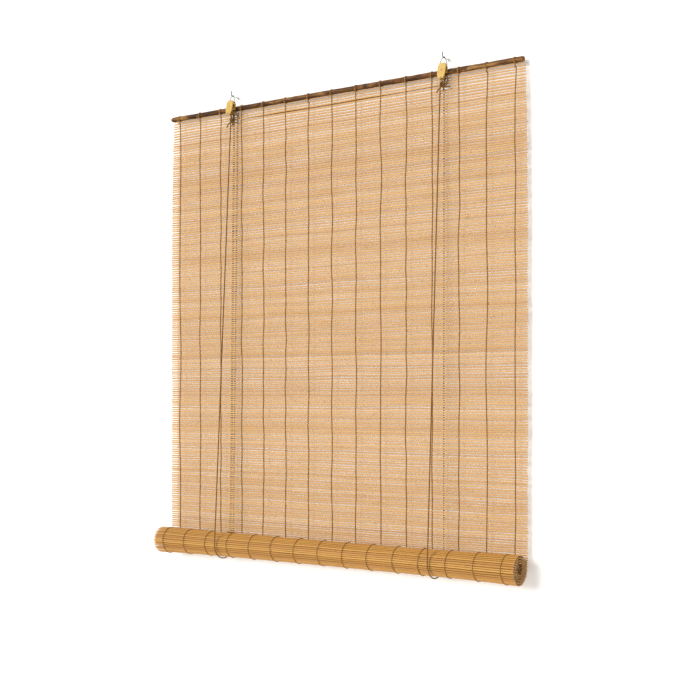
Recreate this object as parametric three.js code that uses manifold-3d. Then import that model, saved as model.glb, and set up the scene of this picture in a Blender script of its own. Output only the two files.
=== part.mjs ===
// Roll-up bamboo blind, one metre wide, hung from two screw hooks and partly rolled up.
// Millimetres, +Z up, +X to the right as seen from the room, +Y into the wall (wall plane y = 0).
// Origin: on the wall, on the blind's centre plane, at the height where the bails hang.
import * as THREE from "three";
import { mergeVertices } from "three/addons/utils/BufferGeometryUtils.js";
import Module from "manifold-3d";

const wasm = await Module();
wasm.setup();

// ---- Driving dimensions ----
const GAP = 0.3; // clearance kept between neighbouring pieces

const FABRIC_WIDTH = 1000; // length of every bamboo stick
const FABRIC_THICKNESS = 3.4;
const FABRIC_BACK_Y = -12; // rear face of the hanging fabric
const FABRIC_TOP_Z = -44.4;
const FABRIC_Y = FABRIC_BACK_Y - FABRIC_THICKNESS / 2;

const WARP_COUNT = 15;
const WARP_PITCH = 67.4;

const ROD_RADIUS = 6;
const ROD_LEFT_X = -499;
const ROD_RIGHT_X = 492;
const ROD_Y = FABRIC_Y;
const ROD_Z = -33;

const ROLL_RADIUS = 32.6; // at the outer end of the winding
const ROLL_PITCH = 4.8; // radial step per turn
const ROLL_TURNS = 4.7;
const ROLL_Y = FABRIC_BACK_Y - ROLL_RADIUS;
const ROLL_Z = -1091;
const CORE_RADIUS = 6.5;
const CORE_BORE_RADIUS = 3.2;

const CORD_RADIUS = 1.2;
const CORD_SIDES = 8;

const PULLEYS = {
  left: { x: -294, grooves: 2, side: 1, bightX: -301, rearX: -285.5 },
  right: { x: 302.2, grooves: 1, side: -1, bightX: 296.5, rearX: 297 },
};
const PULLEY_LEAN = (-12 * Math.PI) / 180; // each block leans about the rod, its top towards the wall
const SHEAVE_Z = ROD_Z - 1.5;
const SHEAVE_RADIUS = 6.2;
const SHEAVE_BORE = 1.3;
const PIN_RADIUS = 1;
const GROOVE_PITCH = 3.2;
const GROOVE_RADIUS = CORD_RADIUS + 0.25; // hollow of the groove's round bottom
const CORD_ON_SHEAVE = 3.9; // radius of the cord's middle on the sheave
const RIM_WIDTH = 0.6; // sheave thickness outside each outer groove edge
const FIRST_GROOVE_Y = -26.2;

const HOUSING_BACK_Y = ROD_Y - ROD_RADIUS - 0.7;
const REAR_BLOCK = 3.6; // thickness of the moulding behind the sheave
const PIN_BLIND_END = HOUSING_BACK_Y - 2.6;
const FRONT_CHEEK = 2;
const HOUSING_TOP = 15; // above and below the rod's axis
const HOUSING_BOTTOM = -20.8;
const HOUSING_SLOT_TOP = 6.6; // the block is open at both sides below this height
const HOUSING_BEVEL = 0.5;
const GUARD_PIN_Z = ROD_Z - 18.5;

const BAIL_WIRE = 0.8;
const BAIL_Y = -26;
const BAIL_FOOT_Z = ROD_Z + 11;
const BAIL_FOOT_X = 10.4;
const HOOK_WIRE = 1.2;
const HOOK_SHANK_Z = -(BAIL_WIRE + GAP + HOOK_WIRE);
const HOOK_COLLAR_RADIUS = 4.2;
const HOOK_COLLAR = 1.6;
const HOOK_BEND = 3.4;
const HOOK_TIP_Z = 9.5;
const SCREW_LENGTH = 22;

const TIE_RING_RADIUS = 8.2; // cord ring that ties a pulley to the rod
const WARP_TIE_WIRE = 0.8;

const LEAD_TOP_Z = SHEAVE_Z - 4; // where the hanging front cords begin
const REAR_CORD_Y = -9.9;
const REAR_CORD_TOP_Z = -47;
const PULL_Y = -9;
const PULL_TOP_Z = -52;
const PULL_BOTTOM_X = { inner: -309, outer: -313 };
const HANK = { x: -314.9, y: -6.6, width: 23.2, depth: 9.6, top: -1065, bottom: -1118 };

const TIE_KNOT = { shiftX: -1.5, y: -21.2, z: -60.5, radii: [6, 4.4, 5.6] };
const REAR_KNOT = { y: -8.4, z: -44, radii: [2.6, 2.4, 2.6] };
const END_KNOT = { y: HANK.y, z: HANK.bottom - GAP - 2.6, radii: [2.6, 2.6, 2.6] };

// ---- Materials ----
function finish(color, roughness, metalness = 0) {
  return new THREE.MeshStandardMaterial({ color, roughness, metalness });
}
const bamboo = () => finish(0xdfb683, 0.6);
const rolledBamboo = () => finish(0xcf9a4c, 0.55);
const darkCane = () => finish(0x5e4530, 0.5);
const twine = () => finish(0x7a5a30, 0.85);
const plastic = () => finish(0xecd37a, 0.4);
const sheavePlastic = () => finish(0xd9c17a, 0.35);
const steel = () => finish(0xa9abad, 0.3, 1);

// ---- Helpers ----
const blind = new THREE.Group();

function addPart(name, geometry, material) {
  const mesh = new THREE.Mesh(geometry, material);
  mesh.name = name;
  blind.add(mesh);
  return mesh;
}

function toSolid(geometry) {
  const plain = geometry.index ? geometry.toNonIndexed() : geometry.clone();
  plain.deleteAttribute("normal");
  plain.deleteAttribute("uv");
  const merged = mergeVertices(plain, 1e-4);
  const vertProperties = new Float32Array(merged.attributes.position.array);
  const triVerts = new Uint32Array(merged.index.array);
  return new wasm.Manifold(new wasm.Mesh({ numProp: 3, vertProperties, triVerts }));
}

function toGeometry(solid) {
  const mesh = solid.getMesh();
  const geometry = new THREE.BufferGeometry();
  geometry.setAttribute("position", new THREE.BufferAttribute(new Float32Array(mesh.vertProperties), 3));
  geometry.setIndex(new THREE.BufferAttribute(new Uint32Array(mesh.triVerts), 1));
  geometry.computeVertexNormals();
  return geometry;
}

// A curve that passes exactly through its own points, so straight stretches need few of them.
class Route extends THREE.Curve {
  constructor(points) {
    super();
    this.points = points;
  }

  getPoint(t, target = new THREE.Vector3()) {
    const last = this.points.length - 1;
    const index = Math.min(Math.floor(t * last), last - 1);
    return target.lerpVectors(this.points[index], this.points[index + 1], t * last - index);
  }

  getSpacedPoints() {
    return this.points.map((point) => point.clone());
  }

  getTangentAt(u, target = new THREE.Vector3()) {
    const last = this.points.length - 1;
    const index = Math.round(u * last);
    const after = this.points[Math.min(index + 1, last)];
    const before = this.points[Math.max(index - 1, 0)];
    return target.subVectors(after, before).normalize();
  }
}

function roundSection(radius, sides) {
  const shape = new THREE.Shape();
  for (let i = 0; i < sides; i++) {
    const angle = (2 * Math.PI * i) / sides;
    const move = i === 0 ? "moveTo" : "lineTo";
    shape[move](radius * Math.cos(angle), radius * Math.sin(angle));
  }
  shape.closePath();
  return shape;
}

function tubeThrough(points, radius, sides = CORD_SIDES) {
  return new THREE.ExtrudeGeometry(roundSection(radius, sides), {
    steps: points.length - 1,
    bevelEnabled: false,
    extrudePath: new Route(points),
  });
}

const vec = (x, y, z) => new THREE.Vector3(x, y, z);

// Pulley pieces are laid out upright, then leaned about the rod's axis.
function leanGeometry(geometry) {
  geometry.translate(0, -ROD_Y, -ROD_Z);
  geometry.rotateX(PULLEY_LEAN);
  geometry.translate(0, ROD_Y, ROD_Z);
  return geometry;
}

function lean(x, y, z) {
  const across = y - ROD_Y;
  const up = z - ROD_Z;
  const cos = Math.cos(PULLEY_LEAN);
  const sin = Math.sin(PULLEY_LEAN);
  return vec(x, ROD_Y + across * cos - up * sin, ROD_Z + across * sin + up * cos);
}

// The bails are as long as it takes for their tops to stand at z = 0.
const BAIL_TOP_Z = ROD_Z - (ROD_Z + (BAIL_Y - ROD_Y) * Math.sin(PULLEY_LEAN)) / Math.cos(PULLEY_LEAN);
const HANG_Y = lean(0, BAIL_Y, BAIL_TOP_Z).y;

function smooth(points, steps) {
  return new THREE.CatmullRomCurve3(points, false, "centripetal").getPoints(steps);
}

function straight(from, to, steps) {
  return new THREE.LineCurve3(from, to).getPoints(steps);
}

// A half turn over the sheave in the plane y, from the side where side = +1 is +X.
function overSheave(x, y, side) {
  const points = [];
  for (let i = 0; i <= 8; i++) {
    const angle = (Math.PI * i) / 8;
    const across = side * CORD_ON_SHEAVE * Math.cos(angle);
    points.push(lean(x + across, y, SHEAVE_Z + CORD_ON_SHEAVE * Math.sin(angle)));
  }
  return points;
}

// A round ring about the rod's axis at station x.
function ringOnRod(x, radius, wire, wireSides, ringSides) {
  const geometry = new THREE.TorusGeometry(radius, wire, wireSides, ringSides);
  geometry.rotateY(Math.PI / 2);
  geometry.translate(x, ROD_Y, ROD_Z);
  return geometry;
}

function cylinderAlongY(radius, fromY, toY, x, z, sides = 16) {
  const geometry = new THREE.CylinderGeometry(radius, radius, Math.abs(toY - fromY), sides);
  geometry.translate(x, (fromY + toY) / 2, z);
  return geometry;
}

function boxBetween(low, high) {
  const geometry = new THREE.BoxGeometry(high.x - low.x, high.y - low.y, high.z - low.z);
  geometry.translate((low.x + high.x) / 2, (low.y + high.y) / 2, (low.z + high.z) / 2);
  return geometry;
}

function knot(x, { y, z, radii }) {
  const geometry = new THREE.SphereGeometry(1, 12, 8);
  geometry.scale(...radii);
  geometry.translate(x, y, z);
  return geometry;
}

// ---- Fabric: hanging part, rolled part and the core it is wound on ----
function hangingFabric() {
  const half = FABRIC_WIDTH / 2;
  const low = vec(-half, FABRIC_BACK_Y - FABRIC_THICKNESS, ROLL_Z + GAP);
  const high = vec(half, FABRIC_BACK_Y, FABRIC_TOP_Z);
  return boxBetween(low, high);
}

// The winding starts behind the roll at axle height, runs down, forward and up, and closes inward.
function rolledFabric() {
  const steps = Math.round(ROLL_TURNS * 24);
  const outer = [];
  const inner = [];
  for (let i = 0; i <= steps; i++) {
    const angle = (2 * Math.PI * ROLL_TURNS * i) / steps;
    const radius = ROLL_RADIUS - (ROLL_PITCH * angle) / (2 * Math.PI);
    const within = radius - FABRIC_THICKNESS;
    outer.push(new THREE.Vector2(radius * Math.cos(angle), -radius * Math.sin(angle)));
    inner.push(new THREE.Vector2(within * Math.cos(angle), -within * Math.sin(angle)));
  }
  const outline = new THREE.Shape([...outer, ...inner.reverse()]);
  const geometry = new THREE.ExtrudeGeometry(outline, { depth: FABRIC_WIDTH, bevelEnabled: false });
  // Section axes (u, v) become (Y, Z), and the extrusion runs along X.
  const toRow = new THREE.Matrix4().makeBasis(vec(0, 1, 0), vec(0, 0, 1), vec(1, 0, 0));
  geometry.applyMatrix4(toRow);
  geometry.translate(-FABRIC_WIDTH / 2, ROLL_Y, ROLL_Z);
  return geometry;
}

function rollCore() {
  const half = FABRIC_WIDTH / 2;
  const profile = [
    new THREE.Vector2(CORE_BORE_RADIUS, -half),
    new THREE.Vector2(CORE_RADIUS, -half),
    new THREE.Vector2(CORE_RADIUS, half),
    new THREE.Vector2(CORE_BORE_RADIUS, half),
    new THREE.Vector2(CORE_BORE_RADIUS, -half),
  ];
  const geometry = new THREE.LatheGeometry(profile, 24);
  geometry.rotateZ(-Math.PI / 2);
  geometry.translate(0, ROLL_Y, ROLL_Z);
  return geometry;
}

// ---- Head rod: a cane with slightly swollen nodes ----
function headRod() {
  const nodeStations = [-420, -165, 95, 355];
  const nodeSwell = 0.3;
  const nodeHalfWidth = 3;
  const endRound = 1;
  const profile = [new THREE.Vector2(0, ROD_LEFT_X)];
  profile.push(new THREE.Vector2(ROD_RADIUS - endRound, ROD_LEFT_X));
  profile.push(new THREE.Vector2(ROD_RADIUS, ROD_LEFT_X + endRound));
  for (const station of nodeStations) {
    profile.push(new THREE.Vector2(ROD_RADIUS, station - nodeHalfWidth));
    profile.push(new THREE.Vector2(ROD_RADIUS + nodeSwell, station));
    profile.push(new THREE.Vector2(ROD_RADIUS, station + nodeHalfWidth));
  }
  profile.push(new THREE.Vector2(ROD_RADIUS, ROD_RIGHT_X - endRound));
  profile.push(new THREE.Vector2(ROD_RADIUS - endRound, ROD_RIGHT_X));
  profile.push(new THREE.Vector2(0, ROD_RIGHT_X));
  const geometry = new THREE.LatheGeometry(profile, 20);
  geometry.rotateZ(-Math.PI / 2);
  geometry.translate(0, ROD_Y, ROD_Z);
  return geometry;
}

// ---- Pulley: moulded housing, grooved sheave, axle pin, guard pin ----
function slotWidth(grooves) {
  return (grooves - 1) * GROOVE_PITCH + 2 * GROOVE_RADIUS + 2 * RIM_WIDTH + 2 * GAP;
}

function housing({ x, grooves }) {
  const slot = slotWidth(grooves);
  const depth = REAR_BLOCK + slot + FRONT_CHEEK;
  const half = 10; // widest at the sheave
  const foot = 6;
  const crown = 6.5;
  const shoulder = 8.5;
  const shoulderTop = HOUSING_TOP - 4;
  const waist = HOUSING_BOTTOM + 10;
  const outline = new THREE.Shape();
  outline.moveTo(-foot, HOUSING_BOTTOM);
  outline.lineTo(foot, HOUSING_BOTTOM);
  outline.lineTo(half, waist);
  outline.lineTo(half, shoulderTop - 4);
  outline.quadraticCurveTo(half, shoulderTop - 2, shoulder, shoulderTop);
  outline.lineTo(crown, HOUSING_TOP);
  outline.lineTo(-crown, HOUSING_TOP);
  outline.lineTo(-shoulder, shoulderTop);
  outline.quadraticCurveTo(-half, shoulderTop - 2, -half, shoulderTop - 4);
  outline.lineTo(-half, waist);
  outline.closePath();
  const block = new THREE.ExtrudeGeometry(outline, {
    depth: depth - 2 * HOUSING_BEVEL,
    bevelThickness: HOUSING_BEVEL,
    bevelSize: HOUSING_BEVEL,
    bevelOffset: -HOUSING_BEVEL,
    bevelSegments: 1,
    curveSegments: 4,
  });
  block.translate(0, 0, HOUSING_BEVEL);
  block.rotateX(Math.PI / 2);
  block.translate(x, HOUSING_BACK_Y, ROD_Z);

  const slotBack = HOUSING_BACK_Y - REAR_BLOCK;
  const slotFront = slotBack - slot;
  const front = slotFront - FRONT_CHEEK;
  const below = ROD_Z + HOUSING_BOTTOM - 1;
  const notchTop = ROD_Z - 5.6;
  const tongue = 2;
  const cuts = [
    boxBetween(vec(x - half - 1, slotFront, below), vec(x + half + 1, slotBack, ROD_Z + HOUSING_SLOT_TOP)),
    boxBetween(vec(x - half - 1, slotBack - 1, below), vec(x - tongue, HOUSING_BACK_Y + 1, notchTop)),
    boxBetween(vec(x + tongue, slotBack - 1, below), vec(x + half + 1, HOUSING_BACK_Y + 1, notchTop)),
    cylinderAlongY(PIN_RADIUS + GAP, PIN_BLIND_END, front - 1, x, SHEAVE_Z),
    cylinderAlongY(PIN_RADIUS + GAP, PIN_BLIND_END, front - 1, x, GUARD_PIN_Z),
    ringOnRod(x, TIE_RING_RADIUS, CORD_RADIUS + GAP, 12, 48),
  ];
  for (const side of [-1, 1]) {
    const hole = new THREE.CylinderGeometry(BAIL_WIRE + GAP, BAIL_WIRE + GAP, 6, 12);
    hole.rotateZ(Math.PI / 2);
    hole.translate(x + side * 8.4, BAIL_Y, BAIL_FOOT_Z);
    cuts.push(hole);
  }
  let solid = toSolid(block);
  for (const cut of cuts) {
    solid = solid.subtract(toSolid(cut));
  }
  return leanGeometry(toGeometry(solid));
}

function sheave({ x, grooves }) {
  const half = (GROOVE_PITCH * (grooves - 1)) / 2 + GROOVE_RADIUS + RIM_WIDTH;
  const middle = FIRST_GROOVE_Y - (GROOVE_PITCH * (grooves - 1)) / 2;
  const profile = [new THREE.Vector2(SHEAVE_BORE, -half), new THREE.Vector2(SHEAVE_RADIUS, -half)];
  for (let g = 0; g < grooves; g++) {
    const centre = (g - (grooves - 1) / 2) * GROOVE_PITCH;
    profile.push(new THREE.Vector2(SHEAVE_RADIUS, centre - GROOVE_RADIUS));
    for (let i = 0; i <= 6; i++) {
      const angle = (Math.PI * i) / 6;
      const radius = CORD_ON_SHEAVE - GROOVE_RADIUS * Math.sin(angle);
      profile.push(new THREE.Vector2(radius, centre - GROOVE_RADIUS * Math.cos(angle)));
    }
    profile.push(new THREE.Vector2(SHEAVE_RADIUS, centre + GROOVE_RADIUS));
  }
  profile.push(new THREE.Vector2(SHEAVE_RADIUS, half));
  profile.push(new THREE.Vector2(SHEAVE_BORE, half));
  profile.push(new THREE.Vector2(SHEAVE_BORE, -half));
  const geometry = new THREE.LatheGeometry(profile, 20);
  geometry.translate(x, middle, SHEAVE_Z);
  return leanGeometry(geometry);
}

function crossPin({ x, grooves }, z) {
  const head = 0.5; // how far the pin stands out of the front cheek
  const front = HOUSING_BACK_Y - REAR_BLOCK - slotWidth(grooves) - FRONT_CHEEK - head;
  return leanGeometry(cylinderAlongY(PIN_RADIUS, PIN_BLIND_END - GAP, front, x, z));
}

// ---- Wire bail and wall hook ----
function bail({ x }) {
  const bend = HOOK_WIRE + GAP + BAIL_WIRE;
  const legAngle = 0.5;
  const half = [vec(5.8, 0, BAIL_FOOT_Z), vec(9.2, 0, BAIL_FOOT_Z), vec(10.3, 0, BAIL_FOOT_Z + 0.5)];
  half.push(vec(BAIL_FOOT_X - 0.3, 0, BAIL_FOOT_Z + 2));
  half.push(vec(6.4, 0, BAIL_TOP_Z - 9.4));
  for (const angle of [legAngle, 0.9, 1.25]) {
    half.push(vec(bend * Math.cos(angle), 0, BAIL_TOP_Z + bend * (Math.sin(angle) - 1)));
  }
  const other = half.map((point) => vec(-point.x, 0, point.z)).reverse();
  const route = smooth([...half, vec(0, 0, BAIL_TOP_Z), ...other], 44);
  const geometry = tubeThrough(route, BAIL_WIRE);
  geometry.translate(x, BAIL_Y, 0);
  return leanGeometry(geometry);
}

function wallHook({ x }) {
  const profile = [
    new THREE.Vector2(0, SCREW_LENGTH),
    new THREE.Vector2(0.5, SCREW_LENGTH),
    new THREE.Vector2(1.9, SCREW_LENGTH - 4),
    new THREE.Vector2(1.9, 0),
    new THREE.Vector2(HOOK_COLLAR_RADIUS, 0),
    new THREE.Vector2(HOOK_COLLAR_RADIUS, -HOOK_COLLAR),
    new THREE.Vector2(0, -HOOK_COLLAR),
  ];
  const screw = new THREE.LatheGeometry(profile.reverse(), 24);
  const bendY = HANG_Y - BAIL_WIRE - 1;
  const points = straight(vec(0, 0.6 - HOOK_COLLAR, 0), vec(0, bendY, 0), 1);
  for (let i = 1; i <= 6; i++) {
    const angle = (Math.PI / 2) * (i / 6);
    points.push(vec(0, bendY - HOOK_BEND * Math.sin(angle), HOOK_BEND * (1 - Math.cos(angle))));
  }
  points.push(vec(0, bendY - HOOK_BEND - 0.2, HOOK_TIP_Z - HOOK_SHANK_Z));
  const wire = tubeThrough(points, HOOK_WIRE, 12);
  const geometry = toGeometry(toSolid(screw).add(toSolid(wire)));
  geometry.translate(x, 0, HOOK_SHANK_Z);
  return geometry;
}

// ---- Lift cords: down the back, round under the roll, up the front ----
const BIGHT_RADIUS = ROLL_RADIUS + 0.4 + CORD_RADIUS;

// Where a straight cord from (y, z) touches the front of the bight circle.
function frontTangent(y, z) {
  const away = Math.hypot(y - ROLL_Y, z - ROLL_Z);
  const toCord = Math.atan2(z - ROLL_Z, y - ROLL_Y);
  const angle = toCord + Math.acos(BIGHT_RADIUS / away);
  return { angle, y: ROLL_Y + BIGHT_RADIUS * Math.cos(angle), z: ROLL_Z + BIGHT_RADIUS * Math.sin(angle) };
}

function frontGrooveY(grooves) {
  return FIRST_GROOVE_Y - (grooves - 1) * GROOVE_PITCH;
}

function frontCordTop(x, grooves) {
  return lean(x, frontGrooveY(grooves), LEAD_TOP_Z);
}

function frontCord({ x, grooves, side, bightX }) {
  const top = frontCordTop(x + side * CORD_ON_SHEAVE, grooves);
  top.z -= GAP;
  const touch = frontTangent(top.y, top.z);
  const bottom = vec(bightX, touch.y, touch.z + GAP);
  return tubeThrough(straight(top, bottom, 8), CORD_RADIUS);
}

function rearCord({ rearX, bightX }) {
  const bottom = vec(bightX, ROLL_Y + BIGHT_RADIUS, ROLL_Z + GAP);
  return tubeThrough(straight(vec(rearX, REAR_CORD_Y, REAR_CORD_TOP_Z), bottom, 8), CORD_RADIUS);
}

function bight({ grooves, bightX }) {
  const top = frontCordTop(0, grooves);
  const touch = frontTangent(top.y, top.z);
  const end = touch.angle > 0 ? touch.angle - 2 * Math.PI : touch.angle;
  const points = [];
  const steps = 24;
  for (let i = 0; i <= steps; i++) {
    const angle = (end * i) / steps;
    const y = ROLL_Y + BIGHT_RADIUS * Math.cos(angle);
    points.push(vec(bightX, y, ROLL_Z + BIGHT_RADIUS * Math.sin(angle)));
  }
  return tubeThrough(points, CORD_RADIUS);
}

// ---- Cords led over the sheaves ----
const { left, right } = PULLEYS;
const leftOuterX = left.x - CORD_ON_SHEAVE;
const leftInnerX = left.x + CORD_ON_SHEAVE;
const rightInnerX = right.x - CORD_ON_SHEAVE;
const rightOuterX = right.x + CORD_ON_SHEAVE;
const leftFrontGroove = frontGrooveY(left.grooves);

// Left front cord: over the sheave, then back between the rod and the fabric.
function leftLead() {
  const back = smooth(
    [
      lean(leftOuterX, leftFrontGroove, SHEAVE_Z - 3.1),
      lean(leftOuterX - 0.7, leftFrontGroove + 0.2, SHEAVE_Z - 6.1),
      lean(leftOuterX - 2, leftFrontGroove + 1.4, SHEAVE_Z - 9),
      lean(leftOuterX - 2.9, leftFrontGroove + 4.4, SHEAVE_Z - 11),
      vec(leftOuterX - 3.1, -19.5, -42.6),
      vec(leftOuterX - 3.2, -12, -42.6),
      vec(leftOuterX - 3.3, -10.4, -43.3),
      vec(leftOuterX - 3.4, -9.9, -45),
      vec(leftOuterX - 3.6, PULL_Y, -48.5),
      vec(leftOuterX - 3.7, PULL_Y, PULL_TOP_Z),
    ],
    22,
  );
  const up = [frontCordTop(leftInnerX, left.grooves), lean(leftInnerX, leftFrontGroove, SHEAVE_Z - 2.6)];
  return tubeThrough([...up, ...overSheave(left.x, leftFrontGroove, 1), ...back], CORD_RADIUS);
}

// Right front cord: over the right sheave, across behind the fabric, over the left sheave.
function crossCord() {
  const y = FIRST_GROOVE_Y;
  const up = [frontCordTop(rightInnerX, right.grooves), lean(rightInnerX, y, SHEAVE_Z - 2.6)];
  const across = smooth(
    [
      lean(rightOuterX, y, SHEAVE_Z - 3.1),
      lean(rightOuterX, y + 0.2, SHEAVE_Z - 6.6),
      lean(rightOuterX, y + 1.8, SHEAVE_Z - 9.8),
      vec(rightOuterX, -20, -42.6),
      vec(rightOuterX, -12, -42.6),
      vec(rightOuterX - 0.2, -9.8, -43.6),
      vec(rightOuterX - 1.4, -7.4, -48),
      vec(rightOuterX - 4.8, -6, -53),
      vec(rightOuterX - 12, -5.8, -56.6),
      vec(rightOuterX - 24, -5.8, -57),
    ],
    22,
  );
  const arrive = smooth(
    [
      vec(leftInnerX + 22, -5.8, -57),
      vec(leftInnerX + 10, -5.8, -56.6),
      vec(leftInnerX + 3.6, -6.2, -53.4),
      vec(leftInnerX + 0.4, -7.4, -48),
      vec(leftInnerX, -9.8, -43.6),
      vec(leftInnerX, -12, -42.6),
      vec(leftInnerX, -20.5, -42.4),
      lean(leftInnerX, y + 1.6, SHEAVE_Z - 9.6),
      lean(leftInnerX, y + 0.1, SHEAVE_Z - 6.2),
      lean(leftInnerX, y, SHEAVE_Z - 2.6),
    ],
    20,
  );
  const down = smooth(
    [
      lean(leftOuterX, y, SHEAVE_Z - 3.1),
      lean(leftOuterX, y + 0.2, SHEAVE_Z - 6.6),
      lean(leftOuterX, y + 1.8, SHEAVE_Z - 9.8),
      vec(leftOuterX, -20.5, -42.6),
      vec(leftOuterX, -12, -42.6),
      vec(leftOuterX - 0.1, -10.3, -43.4),
      vec(leftOuterX - 0.2, -9.8, -45),
      vec(leftOuterX - 0.3, PULL_Y, -48.5),
      vec(leftOuterX - 0.4, PULL_Y, PULL_TOP_Z),
    ],
    20,
  );
  const overRight = overSheave(right.x, y, -1);
  const overLeft = overSheave(left.x, y, 1);
  return tubeThrough([...up, ...overRight, ...across, ...arrive, ...overLeft, ...down], CORD_RADIUS);
}

// ---- Pull cords: two strands behind the fabric, their spare length in a hank behind the roll ----
function pullCord(topX, bottomX) {
  const top = vec(topX, PULL_Y, PULL_TOP_Z - GAP);
  const bottom = vec(bottomX, PULL_Y + 0.6, HANK.top + GAP);
  return tubeThrough(straight(top, bottom, 8), CORD_RADIUS);
}

function hank() {
  const radius = HANK.width / 2;
  const outline = new THREE.Shape();
  outline.absarc(0, HANK.bottom + radius, radius, Math.PI, 2 * Math.PI);
  outline.absarc(0, HANK.top - radius, radius, 0, Math.PI);
  outline.closePath();
  const geometry = new THREE.ExtrudeGeometry(outline, {
    depth: HANK.depth,
    bevelEnabled: false,
    curveSegments: 8,
  });
  geometry.rotateX(Math.PI / 2);
  geometry.translate(HANK.x, HANK.y + HANK.depth / 2, 0);
  return geometry;
}

// ---- Assembly ----
addPart("head_rod", headRod(), darkCane());
addPart("slat_panel", hangingFabric(), bamboo());
addPart("slat_roll", rolledFabric(), rolledBamboo());
addPart("roll_core", rollCore(), darkCane());

for (const [side, pulley] of Object.entries(PULLEYS)) {
  addPart(`${side}_wall_hook`, wallHook(pulley), steel());
  addPart(`${side}_bail`, bail(pulley), steel());
  addPart(`${side}_pulley_housing`, housing(pulley), plastic());
  addPart(`${side}_sheave`, sheave(pulley), sheavePlastic());
  addPart(`${side}_axle_pin`, crossPin(pulley, SHEAVE_Z), steel());
  addPart(`${side}_guard_pin`, crossPin(pulley, GUARD_PIN_Z), steel());
  addPart(`${side}_rod_tie`, ringOnRod(pulley.x, TIE_RING_RADIUS, CORD_RADIUS, 8, 24), twine());
  addPart(`${side}_tie_knot`, knot(pulley.x + TIE_KNOT.shiftX, TIE_KNOT), twine());
  addPart(`${side}_rear_knot`, knot(pulley.rearX, REAR_KNOT), twine());
  addPart(`${side}_front_cord`, frontCord(pulley), twine());
  addPart(`${side}_rear_cord`, rearCord(pulley), twine());
  addPart(`${side}_bight`, bight(pulley), twine());
}

addPart("left_lead_cord", leftLead(), twine());
addPart("cross_cord", crossCord(), twine());
addPart("pull_cord_inner", pullCord(leftOuterX - 0.4, PULL_BOTTOM_X.inner), twine());
addPart("pull_cord_outer", pullCord(leftOuterX - 3.7, PULL_BOTTOM_X.outer), twine());
addPart("pull_hank", hank(), twine());
addPart("pull_end_knot", knot(HANK.x, END_KNOT), twine());

for (let i = 0; i < WARP_COUNT; i++) {
  const x = (i - (WARP_COUNT - 1) / 2) * WARP_PITCH;
  const name = `warp_tie_${String(i + 1).padStart(2, "0")}`;
  const radius = ROD_RADIUS + GAP + WARP_TIE_WIRE;
  addPart(name, ringOnRod(x, radius, WARP_TIE_WIRE, 6, 16), twine());
}

export default blind;
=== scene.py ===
"""A roll-up bamboo blind on a white wall.

Woven splints, twined warps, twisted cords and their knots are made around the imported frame.
The routes of cords, threads and knots are written in millimetres, everything else in metres."""

import math

import bpy
import numpy as np
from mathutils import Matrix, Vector


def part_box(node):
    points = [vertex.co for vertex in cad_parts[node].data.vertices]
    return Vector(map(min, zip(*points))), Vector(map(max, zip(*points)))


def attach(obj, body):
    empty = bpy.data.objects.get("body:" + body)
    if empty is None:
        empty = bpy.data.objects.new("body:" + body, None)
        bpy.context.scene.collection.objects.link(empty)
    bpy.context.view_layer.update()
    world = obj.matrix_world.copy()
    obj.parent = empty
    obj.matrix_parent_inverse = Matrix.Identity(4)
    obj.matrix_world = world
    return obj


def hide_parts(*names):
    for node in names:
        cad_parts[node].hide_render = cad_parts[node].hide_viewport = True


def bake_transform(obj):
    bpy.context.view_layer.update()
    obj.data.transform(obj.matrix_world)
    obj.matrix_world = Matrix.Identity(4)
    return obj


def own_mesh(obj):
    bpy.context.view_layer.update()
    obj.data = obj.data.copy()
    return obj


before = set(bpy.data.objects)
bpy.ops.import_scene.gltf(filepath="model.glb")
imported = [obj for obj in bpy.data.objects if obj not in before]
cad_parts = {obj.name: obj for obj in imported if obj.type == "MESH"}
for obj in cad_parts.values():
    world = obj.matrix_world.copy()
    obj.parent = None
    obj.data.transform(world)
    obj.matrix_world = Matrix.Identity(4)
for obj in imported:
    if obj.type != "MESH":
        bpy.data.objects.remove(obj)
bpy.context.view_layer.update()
rng = np.random.default_rng(11)

MM = 0.001

# ---- Facts of the frame, in metres ----
FABRIC_Y = -0.0137
FABRIC_HALF = 0.5
FABRIC_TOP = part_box("slat_panel")[1][2]
FABRIC_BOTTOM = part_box("slat_panel")[0][2]
ROD_Y, ROD_Z, ROD_RADIUS = -0.0137, -0.033, 0.006
ROD_LEFT, ROD_RIGHT = -0.499, 0.492
ROLL_Y, ROLL_Z = -0.0446, -1.091
ROLL_RADIUS, ROLL_PITCH, ROLL_TURNS = 0.0326, 0.0048, 4.7
LAYER = 0.0034
CORD_RADIUS = 0.0015
PULL_RADIUS = 0.0012
WARP_PITCH = 0.0674
WARPS = [(i - 7) * WARP_PITCH for i in range(15)]
WARP_RADIUS = 0.00092
SPLINT_PITCH = 0.0054
SPLINT_HEIGHTS = (0.0033, 0.0043)
SPLINT_SQUARENESS = 0.75  # power that makes a splint's round section boxier
PULLEY_LEAN = math.radians(-12)

# ---- Camera ----
camera_data = bpy.data.cameras.new("camera")
camera_data.sensor_width = 36
camera_data.lens = 63.6
camera_data.shift_y = 0.07
camera_data.clip_end = 60
camera = bpy.data.objects.new("camera", camera_data)
camera.location = (1.669, -2.325, -0.740)
camera.rotation_euler = (math.radians(90), 0, math.radians(35))
bpy.context.scene.collection.objects.link(camera)
bpy.context.scene.camera = camera
bpy.context.scene.view_settings.view_transform = "Standard"


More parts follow.
